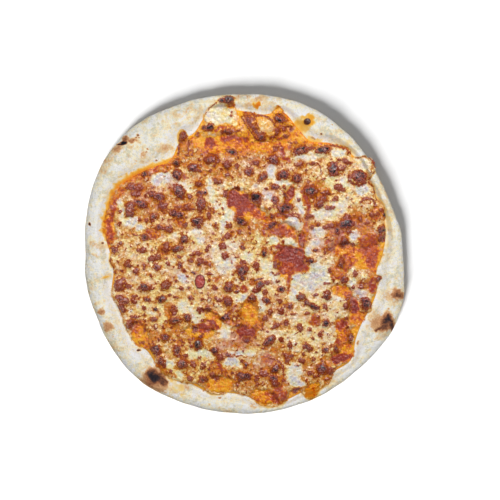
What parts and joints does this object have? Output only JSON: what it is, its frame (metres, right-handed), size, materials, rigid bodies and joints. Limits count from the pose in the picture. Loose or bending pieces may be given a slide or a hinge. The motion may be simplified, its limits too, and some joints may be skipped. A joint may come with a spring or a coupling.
{
  "type": "margherita pizza",
  "caption": "Round baked pizza with a raised floured rim, tomato sauce and blistered melted mozzarella, a whole dish to lie on a plate, board or tray.",
  "frame": {"origin": "on the table under the middle of the pizza", "axes": "+Z up through the pizza; seen from above, +X is to the right and +Y is up, and the widest part of the rim is at the upper left"},
  "size_m": [0.3202, 0.3202, 0.0161],
  "materials": {
    "crust": "dry baked bread with flour",
    "sauce": "wet and oily",
    "cheese": "melted, oily, satin",
    "scorched_cheese": "burnt, satin",
    "tomato": "wet skin"
  },
  "bodies": {
    "root": {"dough": "crust", "sauce": "sauce", "cheese": "cheese", "cheese_north": "cheese", "cheese_drop": "scorched_cheese", "tomato": "tomato"}
  },
  "joints": []
}
